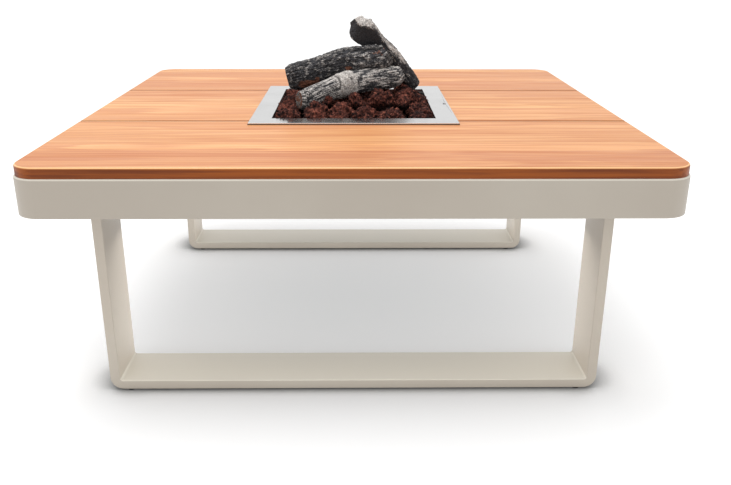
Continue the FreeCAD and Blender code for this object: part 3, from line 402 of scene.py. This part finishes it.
def rise(value, low, high):
    """0 below low, 1 above high, smooth in between."""
    share = min(max((value - low) / (high - low), 0.0), 1.0)
    return share * share * (3 - 2 * share)


def rounded_outline(width, depth, radius, arc_steps):
    """Corner-rounded rectangle round the origin, as pairs."""
    outline = []
    for quarter, (side_x, side_y) in enumerate(((1, 1), (-1, 1), (-1, -1), (1, -1))):
        for step in range(arc_steps + 1):
            angle = math.radians(90 * (quarter + step / arc_steps))
            outline.append((side_x * (width / 2 - radius) + radius * math.cos(angle),
                            side_y * (depth / 2 - radius) + radius * math.sin(angle)))
    return outline


# ---------------------------------------------------------------- leg frames

LEG_WALL = 20 * MM
LEG_BEND = 16 * MM
LEG_EDGE = 2 * MM
LEG_EDGE_STEPS = 4
BEND_STEPS = 14
LEG_SHARP_DEGREES = 40


def leg_path(low, high):
    """Stations down one upright, along the foot bar and up the other, with their outward directions."""
    side = high.x - LEG_WALL / 2
    foot = low.z + LEG_WALL / 2
    middle = (low.y + high.y) / 2
    stations = [(Vector((-side, middle, high.z)), Vector((-1, 0, 0)))]
    for hand, start in ((-1, 180), (1, 270)):
        pivot = Vector((hand * (side - LEG_BEND), middle, foot + LEG_BEND))
        for step in range(BEND_STEPS + 1):
            angle = math.radians(start + 90 * step / BEND_STEPS)
            outward = Vector((math.cos(angle), 0, math.sin(angle)))
            stations.append((pivot + outward * LEG_BEND, outward))
    stations.append((Vector((side, middle, high.z)), Vector((1, 0, 0))))
    return stations


for place in ("front", "back"):
    members = [f"leg_upright_{place}_left", f"leg_foot_bar_{place}", f"leg_upright_{place}_right"]
    low, high = box_of(*members)
    section = rounded_outline(LEG_WALL, high.y - low.y, LEG_EDGE, LEG_EDGE_STEPS)
    rings = [[centre + outward * across + Vector((0, along, 0)) for across, along in section]
             for centre, outward in leg_path(low, high)]
    name = f"leg_frame_{place}"
    add_piece(name, finished(skin(rings), name, LEG_SHARP_DEGREES), "powder_coat", "table", members)


# ---------------------------------------------------------------- dark strip under the tray's rim, a painted shadow line

SHADOW_STRIP_HEIGHT = 1.6 * MM
SHADOW_STRIP_PROUD = 0.9 * MM
SHADOW_STRIP_DEPTH = 6 * MM
SHADOW_STRIP_CORNER = 1.5 * MM
SHADOW_STRIP_CORNER_STEPS = 3
SHADOW_STRIP_SHARP_DEGREES = 30

rim_low, rim_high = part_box("burner_tray")
wood_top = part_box("plank_front")[1].z
rim_size = Vector((rim_high.x - rim_low.x, rim_high.y - rim_low.y))
rings = []
for spread, height in ((SHADOW_STRIP_PROUD, 0), (SHADOW_STRIP_PROUD, SHADOW_STRIP_HEIGHT), (-SHADOW_STRIP_DEPTH, SHADOW_STRIP_HEIGHT),
                       (-SHADOW_STRIP_DEPTH, 0), (SHADOW_STRIP_PROUD, 0)):
    outline = rounded_outline(rim_size.x + 2 * spread, rim_size.y + 2 * spread,
                              SHADOW_STRIP_CORNER, SHADOW_STRIP_CORNER_STEPS)
    rings.append([Vector((x, y, wood_top + height)) for x, y in outline])
# a dark rubber strip just proud of the rim, standing in for the shadow line under it
shadow_strip_mesh = finished(skin(rings, closed_ends=False), "rim_shadow_strip", SHADOW_STRIP_SHARP_DEGREES)
add_piece("rim_shadow_strip", shadow_strip_mesh, "lead_rubber", "table", [])


# ---------------------------------------------------------------- eased edges on metal parts

EASED = {
    "burner_tray": 0.5 * MM,
    "control_bracket": 0.6 * MM,
    "gas_valve": 0.6 * MM,
    "control_knob": 0.8 * MM,
    "igniter_button": 0.7 * MM,
    "valve_nut": 0.4 * MM,
    "igniter_nut": 0.4 * MM,
    "leg_bolts": 0.4 * MM,
    "air_mixer": 0.5 * MM,
}
WELD_REACH = 0.01 * MM
EASED_ABOVE_DEGREES = 50
for name, width in EASED.items():
    weld = nodes[name].modifiers.new("weld", "WELD")
    weld.merge_threshold = WELD_REACH
    bevel = nodes[name].modifiers.new("ease", "BEVEL")
    bevel.width = width
    bevel.segments = 2
    bevel.limit_method = "ANGLE"
    bevel.angle_limit = math.radians(EASED_ABOVE_DEGREES)
    bevel.harden_normals = True


# ---------------------------------------------------------------- lava rocks

ROCK_SEED = 21
ROCK_LEVEL = 5
CRUMB_LEVEL = 4
FACETS_PER_ROCK = 9
ROCK_SIZES = (0.86, 1.28)
ROCK_STRAY = 7 * MM
CRUMBS_PER_ROCK = 1
CRUMB_RADII = (8 * MM, 14 * MM)
EDGE_ROCKS = 30
EDGE_ROCK_RADII = (13 * MM, 20 * MM)
EDGE_ROCK_HEIGHTS = (22 * MM, 38 * MM)
EDGE_ROCK_SWELL = 1.15
WALL_GAP = 3 * MM
PAN_LOW, PAN_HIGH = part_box("media_grate")
PAN_LOW = PAN_LOW - Vector((WALL_GAP, WALL_GAP, 0))
PAN_HIGH = PAN_HIGH + Vector((WALL_GAP, WALL_GAP, 0))


def islands(node):
    """Middle and reach of every separate solid in a CAD node."""
    mesh = nodes[node].data
    corner_of = {}
    parent = []

    def root(index):
        while parent[index] != index:
            index = parent[index]
        return index

    corners = []
    for vertex in mesh.vertices:
        key = tuple(round(level, 5) for level in vertex.co)
        if key not in corner_of:
            corner_of[key] = len(parent)
            parent.append(len(parent))
        corners.append(corner_of[key])
    for polygon in mesh.polygons:
        first, *others = (root(corners[vertex]) for vertex in polygon.vertices)
        for other in others:
            parent[root(other)] = root(first)
    groups = {}
    for key, index in corner_of.items():
        groups.setdefault(root(index), []).append(Vector(key))
    found = []
    for points in groups.values():
        middle = sum(points, Vector()) / len(points)
        found.append((middle, max((point - middle).length for point in points)))
    return sorted(found, key=lambda item: tuple(item[0]))


def random_direction(chance):
    return Vector(chance.gauss(0, 1) for _ in range(3)).normalized()


def rock_points(directions, chance):
    """Moves points of a unit ball to the skin of a chipped, porous lump, each with its hollow mark."""
    facets = [(random_direction(chance), chance.uniform(0.62, 0.92))
              for _ in range(FACETS_PER_ROCK)]
    stretch = Vector((chance.uniform(0.92, 1.12), chance.uniform(0.8, 1.0), chance.uniform(0.74, 0.94)))
    seed = Vector(chance.uniform(-50, 50) for _ in range(3))
    placed = []
    for direction in directions:
        reach = 1.0
        for normal, distance in facets:
            slope = direction.dot(normal)
            if slope > 0.01:
                reach = min(reach, distance / slope)
        spot = direction * reach
        lumps = noise.fractal(spot * 2.1 + seed, 1.0, 2.0, 3)
        crust = noise.fractal(spot * 6.0 + seed, 0.7, 2.1, 4)
        pit = noise.voronoi(spot * 4.0 + seed)[0][0]
        hollow = max(0.0, 1 - pit / 0.36)
        reach *= 1 + 0.18 * lumps + 0.17 * crust - 0.19 * hollow
        point = Vector(level * pull for level, pull in zip(direction * reach, stretch))
        placed.append((point, min(1.0, hollow * 1.3)))
    return placed


def kept_in_pan(point):
    """Above the rim rocks may lean out; below it they stay within the pan's walls, over the grate."""
    if point.z > RIM_TOP:
        return point
    return Vector((min(max(point.x, PAN_LOW.x), PAN_HIGH.x), min(max(point.y, PAN_LOW.y), PAN_HIGH.y),
                   max(point.z, PAN_HIGH.z)))


def add_rock(built, paint, ball, middle, radius, chance):
    """One rock, painted dark as shade in its pits and on its underside."""
    turn = Quaternion(random_direction(chance), chance.uniform(0, math.tau)).to_matrix()
    points, triangles = ball
    corners = []
    for point, hollow in rock_points(points, chance):
        turned = turn @ point
        # painted shade: the pits and the underside of each rock are marked dark
        underside = rise(-turned.z, -0.15, 0.55)
        corner = built.verts.new(kept_in_pan(middle + turned * radius))
        corner[paint] = (max(hollow, 0.9 * underside), 0.0, 0.0, 1.0)
        corners.append(corner)
    for triangle in triangles:
        built.faces.new([corners[index] for index in triangle]).smooth = True


def unit_ball(level):
    """Directions and triangles of an even ball."""
    built = bmesh.new()
    bmesh.ops.create_icosphere(built, subdivisions=level, radius=1)
    points = [vertex.co.copy() for vertex in built.verts]
    triangles = [[vertex.index for vertex in face.verts] for face in built.faces]
    built.free()
    return points, triangles


def along_walls(share, inset):
    """A place some share of the way round the pan, a little inside its walls."""
    half_x, half_y = PAN_HIGH.x - inset, PAN_HIGH.y - inset
    lap = share * 4
    across = 2 * (lap % 1) - 1
    sides = ((across * half_x, -half_y), (half_x, across * half_y),
             (-across * half_x, half_y), (-half_x, -across * half_y))
    return sides[int(lap)]


def add_edge_rocks(built, paint, chance):
    """Small rocks that fill the lower layer out to the pan's walls."""
    for step in range(EDGE_ROCKS):
        radius = chance.uniform(*EDGE_ROCK_RADII)
        x, y = along_walls((step + chance.uniform(0, 0.7)) / EDGE_ROCKS, radius)
        height = PAN_HIGH.z + chance.uniform(*EDGE_ROCK_HEIGHTS)
        add_rock(built, paint, CRUMB_BALL, Vector((x, y, height)), radius * EDGE_ROCK_SWELL, chance)


ROCK_BALL = unit_ball(ROCK_LEVEL)
CRUMB_BALL = unit_ball(CRUMB_LEVEL)
chance = random.Random(ROCK_SEED)
for node in ("lava_rocks_lower", "lava_rocks_upper"):
    built = bmesh.new()
    paint = built.verts.layers.float_color.new(FINISH_LIGHT_AND_SHADE)
    for middle, radius in islands(node):
        stray = Vector((chance.uniform(-1, 1), chance.uniform(-1, 1), 0)) * ROCK_STRAY
        add_rock(built, paint, ROCK_BALL, middle + stray, radius * chance.uniform(*ROCK_SIZES), chance)
        for _ in range(CRUMBS_PER_ROCK):
            beside = random_direction(chance) * radius
            beside.z = -abs(beside.z) / 2
            add_rock(built, paint, CRUMB_BALL, middle + beside, chance.uniform(*CRUMB_RADII), chance)
    if node == "lava_rocks_lower":
        add_edge_rocks(built, paint, chance)
    add_piece(node + "_stone", finished(built, node + "_stone"), "lava_stone", "media_bed", [node])


# ---------------------------------------------------------------- logs

RINGS_PER_LOG = 240
POINTS_PER_RING = 180
SLICES = 60
SLICE_MARGIN = 3 * MM
END_ROUND = 5 * MM
CAP_SHARES = (0.9, 0.72, 0.5, 0.28, 0.1)
AIM_ROUNDS = 3
SMOOTHING_ROUNDS = 3
BURNT_SIDE = 215
LIT_SIDE = 140
BURNT_REACH = 0.62


def slice_of(mesh, origin, normal):
    """Middle and mean radius of the section where a plane cuts a mesh."""
    side = normal.cross(Vector((0, 0, 1))).normalized()
    rise = side.cross(normal)
    heights = [(vertex.co - origin).dot(normal) for vertex in mesh.vertices]
    across, upward = [], []
    for edge in mesh.edges:
        first, second = edge.vertices
        if (heights[first] < 0) == (heights[second] < 0):
            continue
        share = heights[first] / (heights[first] - heights[second])
        point = mesh.vertices[first].co.lerp(mesh.vertices[second].co, share) - origin
        across.append(point.dot(side))
        upward.append(point.dot(rise))
    middle = origin + side * (min(across) + max(across)) / 2 + rise * (min(upward) + max(upward)) / 2
    return middle, (max(across) - min(across) + max(upward) - min(upward)) / 4


def spine(node):
    """Middles and radii along a CAD log, from its lower end to its higher one."""
    mesh = nodes[node].data
    points = sorted((vertex.co for vertex in mesh.vertices), key=lambda point: point.z)
    middle = sum(points, Vector()) / len(points)
    far = max(points, key=lambda point: (point - middle).length)
    run = (far - middle).normalized()
    for _ in range(AIM_ROUNDS):
        spans = [(point - middle).dot(run) for point in points]
        start, end = min(spans), max(spans)
        quarter = (end - start) / 4
        run = (slice_of(mesh, middle + run * (end - quarter), run)[0]
               - slice_of(mesh, middle + run * (start + quarter), run)[0]).normalized()
    if run.z < 0:
        run.negate()
    spans = [(point - middle).dot(run) for point in points]
    start, end = min(spans) + SLICE_MARGIN, max(spans) - SLICE_MARGIN
    found = [slice_of(mesh, middle + run * (start + (end - start) * step / (SLICES - 1)), run)
             for step in range(SLICES)]
    for _ in range(SMOOTHING_ROUNDS):
        found = ([found[0]]
                 + [((before[0] + now[0] * 2 + after[0]) / 4, (before[1] + now[1] * 2 + after[1]) / 4)
                    for before, now, after in zip(found, found[1:], found[2:])]
                 + [found[-1]])
    found[0] = (found[0][0] - run * SLICE_MARGIN, found[1][1])
    found[-1] = (found[-1][0] + run * SLICE_MARGIN, found[-2][1])
    return found


def hill(value, centre, width):
    """1 at the centre, falling smoothly to nothing some widths away."""
    return math.exp(-((value - centre) / width) ** 2)


def turn_between(angle, centre):
    """Degrees from one direction round a log to another, at most 180."""
    return (angle - centre + 180) % 360 - 180


def furrows(along, spot, stretch, pitch, seed):
    """0 on the bark plates, 1 at the bottom of the cracks between them."""
    place = Vector((along * stretch, spot[0] * pitch, spot[1] * pitch)) + Vector((seed, 0, 0))
    level = noise.noise(place) + 0.35 * noise.noise(place * 2.3)
    return math.exp(-(level / 0.13) ** 2)


def bark_back(share, angle, along, spot):
    """A heavy charred log with close bark plates and a branch stub in front of its right end."""
    plates = furrows(along, spot, 30, 130, 3)
    ridges = furrows(along, spot, 14, 300, 5)
    knobs = noise.fractal(Vector((along * 90, spot[0] * 160, spot[1] * 160)), 0.9, 2.0, 3)
    stub = rise(share, 0.60, 0.72) * hill(turn_between(angle, -18), 0, 48)
    stub_rim = rise(share, 0.60, 0.70) * hill(turn_between(angle, 50), 0, 12)
    belly = hill(turn_between(angle, -75), 0, 50)
    offset = -2.6 * plates - 0.9 * ridges + 1.4 * knobs + 11 * stub - 4.5 * stub_rim + 7 * belly
    ash = 0.2 + 0.36 * knobs - 0.2 * ridges + 0.12 * stub + 0.12 * hill(turn_between(angle, 60), 0, 40)
    upper_patch = hill(share, 0.95, 0.09) * hill(turn_between(angle, 26), 0, 22)
    stub_patch = hill(share, 0.60, 0.05) * hill(turn_between(angle, -36), 0, 18)
    low_patch = rise(share, 0.05, 0.12) * (1 - rise(share, 0.26, 0.36))
    low_patch *= hill(turn_between(angle, -42), 0, 20)
    brown = 0.6 * upper_patch + 0.8 * stub_patch + 0.85 * low_patch
    return offset, ash, brown, max(plates * 0.7, ridges * 0.35, stub_rim)


def bark_front(share, angle, along, spot):
    """A pale striped log with a bark swirl half way, darker and ash-flecked beyond it."""
    swirl = rise(share, 0.30, 0.36) * (1 - rise(share, 0.50, 0.53))
    beyond = rise(share, 0.50, 0.54)
    stripe = furrows(along, spot, 4, 300, 9)
    rough = noise.fractal(Vector((along * 110, spot[0] * 200, spot[1] * 200)), 0.8, 2.0, 4)
    streak = noise.fractal(Vector((along * 34, spot[0] * 240, spot[1] * 240)), 0.8, 2.0, 4)
    swirled = furrows(along, (spot[0] + 0.004 * math.sin(along * 260), spot[1]), 130, 150, 13)
    lip = hill(share, 0.335 + 0.03 * math.sin(math.radians(angle * 1.5)), 0.012)
    knot = hill(share, 0.46, 0.035) * hill(turn_between(angle, 32), 0, 26)
    eye = hill(share, 0.46, 0.014) * hill(turn_between(angle, 32), 0, 10)
    stripes = (1 - swirl) * (1 - 0.5 * beyond)
    end_knob = hill(share, 0.96, 0.05) * hill(turn_between(angle, 60), 0, 50)
    body = 3.2 * (1 - beyond) + 1.5 * beyond + 3.2 * (1 - rise(share, 0.02, 0.22))
    offset = (body - 1.5 * stripe * stripes + 1.5 * rough * swirl + 1.8 * streak * beyond
              + 2.2 * swirl - 2.2 * lip
              - 1.4 * swirled * swirl + 3.5 * knot - 4.5 * eye + 3 * end_knob)
    ash = 0.5 - 0.12 * beyond + 0.36 * swirl + 0.2 * rough
    ash += (0.2 + 0.5 * beyond) * streak - 0.6 * stripe * stripes
    ash += 0.25 * end_knob + 0.3 * beyond * hill(share, 0.66, 0.1) * hill(turn_between(angle, 20), 0, 30)
    brown = 0.34 * (1 - beyond) * hill(turn_between(angle, -80), 0, 35)
    hollow = max(stripe * stripes * 0.55, 0.9 * lip * (angle % 360 < 200), swirled * swirl * 0.5, eye)
    return offset, ash, brown, hollow


def bark_top(share, angle, along, spot):
    """A leaning branch: pale ash along its lit upper side, partly a painted highlight, and a flat burnt
    face under its white-capped head.
    """
    cracks = furrows(along, spot, 10, 260, 17)
    rough = noise.fractal(Vector((along * 110, spot[0] * 190, spot[1] * 190)), 0.8, 2.0, 4)
    burnt = rise(share, 0.52, 0.62) * hill(turn_between(angle, BURNT_SIDE), 0, 70)
    ragged = share + 0.035 * noise.noise(Vector((spot[0] * 110, spot[1] * 110, 4)))
    cap = rise(ragged, 0.88, 0.91) * (1 - burnt)
    offset = -1.6 * cracks * (1 - burnt) + 1.4 * rough * (1 - 0.6 * burnt) + 1.5 * cap
    # painted highlight: the side facing the light is painted pale as ash
    lit_side_highlight = hill(turn_between(angle, LIT_SIDE), 0, 30)
    ash = 0.12 + 0.7 * lit_side_highlight * rise(share, 0.22, 0.38) + 0.9 * cap - 0.7 * burnt + 0.4 * rough
    return offset, ash, 0.0, max(0.55 * cracks * (1 - burnt), 0.25 * burnt)


def flattened(reach, share, angle):
    """The log's head is split along a plane on its burnt side."""
    slope = math.cos(math.radians(turn_between(angle, BURNT_SIDE)))
    limit = BURNT_REACH / max(slope, 0.01)
    return min(reach, 1 + (min(1.0, limit) - 1) * rise(share, 0.5, 0.66))


LOGS = {
    "log_back": {"bark": bark_back, "cut_brown": (0.0, 0.0)},
    "log_front": {"bark": bark_front, "cut_brown": (0.56, 0.0)},
    "log_top": {"bark": bark_top, "cut_brown": (0.0, 0.0)},
}


def log_ring(share, found, length, bark, headed):
    """Points of one ring round a log, with their colour marks, painted light and shade among them."""
    place = share * (len(found) - 1)
    index = min(int(place), len(found) - 2)
    (first, first_radius), (second, second_radius) = found[index], found[index + 1]
    middle = first.lerp(second, place - index)
    radius = first_radius + (second_radius - first_radius) * (place - index)
    run = (found[min(index + 3, len(found) - 1)][0] - found[max(index - 2, 0)][0]).normalized()
    side = run.cross(Vector((0, 0, 1))).normalized()
    up = side.cross(run)
    along = share * length
    gap = min(along, length - along)
    rounding = 1 - 0.16 * (1 - rise(gap, -END_ROUND, END_ROUND)) * 2
    points, paints = [], []
    for step in range(POINTS_PER_RING):
        angle = 360 * step / POINTS_PER_RING
        turn = math.radians(angle)
        spot = (radius * math.cos(turn), radius * math.sin(turn))
        offset, ash, brown, hollow = bark(share, angle, along, spot)
        wobble = 1 + 0.09 * noise.noise(Vector((along * 14, spot[0] * 22, spot[1] * 22 + radius)))
        reach = flattened(1.0, share, angle) if headed else 1.0
        reach = radius * reach * wobble * rounding + offset * MM
        points.append(middle + (side * math.cos(turn) + up * math.sin(turn)) * reach)
        paints.append((ash, brown, hollow, 1.0))
    return middle, points, paints


def cap_rings(middle, points, outward, cut_brown, seed):
    """Rings that close a log's end with an uneven sawn face."""
    rings, paints = [], []
    for share in CAP_SHARES:
        ring = []
        for point in points:
            spot = middle.lerp(point, share)
            rough = noise.fractal(spot * 220 + Vector((seed, 0, 0)), 0.9, 2.0, 3)
            ring.append(spot + outward * (1.4 * rough - 1.2 * (1 - share)) * MM)
        rings.append(ring)
        ash = 0.12 + 0.6 * cut_brown
        paints.append([(ash, cut_brown, 0.15 + 0.3 * share, 1.0)] * len(points))
    return rings, paints


for node, log in LOGS.items():
    found = spine(node)
    length = sum((after[0] - before[0]).length for before, after in zip(found, found[1:]))
    rings, paints = [], []
    for step in range(RINGS_PER_LOG):
        share = step / (RINGS_PER_LOG - 1)
        middle, points, finish_light_and_shade = log_ring(share, found, length, log["bark"], node == "log_top")
        rings.append(points)
        paints.append(finish_light_and_shade)
    run_in = (found[0][0] - found[3][0]).normalized()
    run_out = (found[-1][0] - found[-4][0]).normalized()
    start_rings, start_paints = cap_rings(found[0][0], rings[0], run_in, log["cut_brown"][0], 1)
    end_rings, end_paints = cap_rings(found[-1][0], rings[-1], run_out, log["cut_brown"][1], 2)
    rings = start_rings[::-1] + rings + end_rings
    paints = start_paints[::-1] + paints + end_paints
    mesh = finished(skin(rings), node + "_cast")
    marks = mesh.color_attributes.new(FINISH_LIGHT_AND_SHADE, "FLOAT_COLOR", "POINT")
    marks.data.foreach_set("color", [level for ring in paints for paint in ring for level in paint])
    add_piece(node + "_cast", mesh, "log_ceramic", node, [node])


# ---------------------------------------------------------------- studio

FLOOR_REACH = 30
CONTACT_REACH = 0.09
CONTACT_SHADOW_GREY = (0.3, 0.3, 0.3, 1.0)
PAPER_GREY = (0.86, 0.86, 0.86, 1.0)
WHITE = (1.0, 1.0, 1.0, 1.0)

floor_corners = [(side_x * FLOOR_REACH, side_y * FLOOR_REACH, 0)
                 for side_x, side_y in ((-1, -1), (1, -1), (1, 1), (-1, 1))]
floor_mesh = bpy.data.meshes.new("studio_floor")
floor_mesh.from_pydata(floor_corners, [], [(0, 1, 2, 3)])
floor = bpy.data.objects.new("studio_floor", floor_mesh)
scene.collection.objects.link(floor)
paper = Look("studio_paper", Roughness=0.9, Specular_IOR_Level=0.0)
# painted contact shadow: where the object hems the floor in, its colour and glow turn darker
openness = paper.add("ShaderNodeAmbientOcclusion", {"Distance": CONTACT_REACH}, samples=8).outputs["AO"]
paper.set("Base Color", paper.mix(paper.between(openness, 0.45, 1.0), CONTACT_SHADOW_GREY, PAPER_GREY))
paper.set("Emission Color", WHITE)
paper.set("Emission Strength", paper.between(openness, 0.45, 1.0, 0.02, 0.24))
floor_mesh.materials.append(paper.material)

world = bpy.data.worlds.new("studio_air")
world.use_nodes = True
air = world.node_tree.nodes["Background"]
air.inputs["Color"].default_value = WHITE
air.inputs["Strength"].default_value = 1.0
scene.world = world


def softbox(name, place, aim, size, power, tint=(1, 1, 1), only=None, glossy=False):
    """A rectangular lamp that the camera doesn't see; it may light one group of pieces only."""
    data = bpy.data.lights.new(name, "AREA")
    data.color = tint
    data.shape = "RECTANGLE"
    data.size, data.size_y = size
    data.energy = power
    lamp = bpy.data.objects.new(name, data)
    lamp.location = place
    lamp.rotation_euler = (Vector(aim) - Vector(place)).to_track_quat("-Z", "Y").to_euler()
    lamp.visible_camera = False
    lamp.visible_glossy = glossy
    if only is not None:
        lamp.light_linking.receiver_collection = only
    scene.collection.objects.link(lamp)


leg_group = bpy.data.collections.new("leg_frames")
for name in ("leg_frame_front", "leg_frame_back"):
    leg_group.objects.link(bpy.data.objects[name])
UNDER_TOP = (0, 0, 0.32)
FILL_SIZE = (0.9, 0.75)
FLOOR_BLUE = (0.8, 0.95, 1.0)
softbox("overhead_softbox", (-0.3, 0.1, 2.6), (0, 0, 0.4), (2.4, 2.0), 40, glossy=True)
softbox("under_table_fill", UNDER_TOP, (0, 0, 0), FILL_SIZE, 0.4, tint=FLOOR_BLUE)
softbox("leg_fill", UNDER_TOP, (0, 0, 0), FILL_SIZE, 10.5, only=leg_group)
softbox("leg_top_fill", (0, 0, 0.03), (0, 0, 0.4), FILL_SIZE, 2.4, only=leg_group)
softbox("leg_front_fill", (0, -2.4, 0.5), (0, 0, 0.1), (2.0, 0.5), 13, only=leg_group)

scene.view_settings.view_transform = "Standard"

CAMERA_PLACE = (0.0047, -1.9199, 0.8628)
CAMERA_TILT = 90 - 20.307
CAMERA_ROLL = -0.142
CAMERA_TURN = -0.66
CAMERA_LENS = 39.11

camera_data = bpy.data.cameras.new("photo_camera")
camera_data.lens = CAMERA_LENS
camera_data.sensor_width = 36
camera = bpy.data.objects.new("photo_camera", camera_data)
camera.location = CAMERA_PLACE
camera.rotation_euler = [math.radians(angle) for angle in (CAMERA_TILT, CAMERA_ROLL, CAMERA_TURN)]
scene.collection.objects.link(camera)
scene.camera = camera
